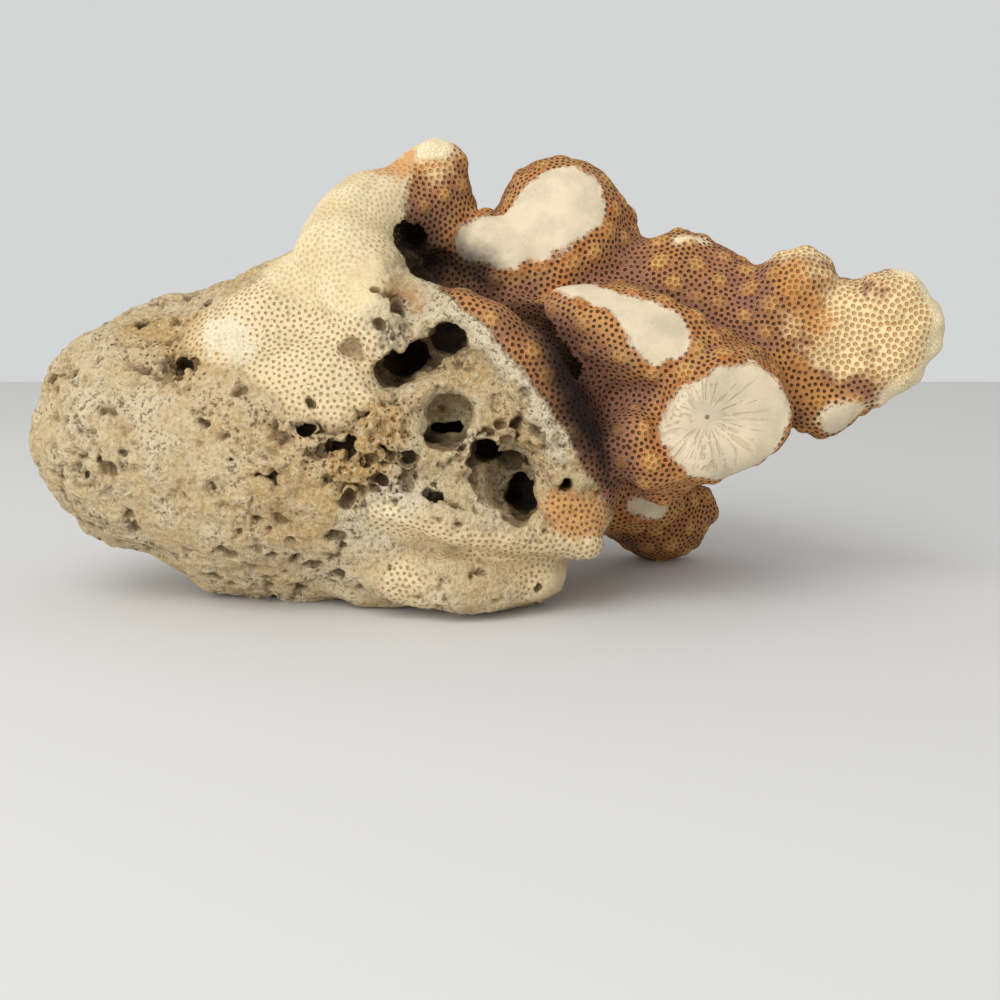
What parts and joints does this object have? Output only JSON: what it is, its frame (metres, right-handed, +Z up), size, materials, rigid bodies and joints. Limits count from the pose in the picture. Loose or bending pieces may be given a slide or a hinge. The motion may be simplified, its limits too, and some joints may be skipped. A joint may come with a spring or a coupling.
{
  "type": "branching coral",
  "caption": "Stout branching stony coral fragment lying on its side, with a bored, eroded stalk, warty rounded branches and worn white branch ends.",
  "frame": {"origin": "middle of the bounding box's base, on the surface the coral rests on", "axes": "+Z up as the fragment lies; +X along its length, from the eroded stalk's round end to the right arm's tip; +Y away from the bored face"},
  "size_m": [0.154, 0.0736, 0.0787],
  "materials": {
    "eroded_stalk": "rough porous limestone skeleton",
    "horn_branch": "rough porous limestone skeleton",
    "upper_stump": "rough porous limestone skeleton",
    "middle_stub": "rough porous limestone skeleton",
    "front_stub": "rough porous limestone skeleton",
    "right_arm": "rough porous limestone skeleton",
    "crest_branch": "rough porous limestone skeleton",
    "underside_stub": "rough porous limestone skeleton",
    "rear_foot_branch": "rough porous limestone skeleton",
    "back_upper_branch": "rough porous limestone skeleton",
    "back_lower_branch": "rough porous limestone skeleton"
  },
  "bodies": {
    "root": {"eroded_stalk": "eroded_stalk", "horn_branch": "horn_branch", "upper_stump": "upper_stump", "middle_stub": "middle_stub", "front_stub": "front_stub", "right_arm": "right_arm", "crest_branch": "crest_branch", "underside_stub": "underside_stub", "rear_foot_branch": "rear_foot_branch", "back_upper_branch": "back_upper_branch", "back_lower_branch": "back_lower_branch"}
  },
  "joints": []
}
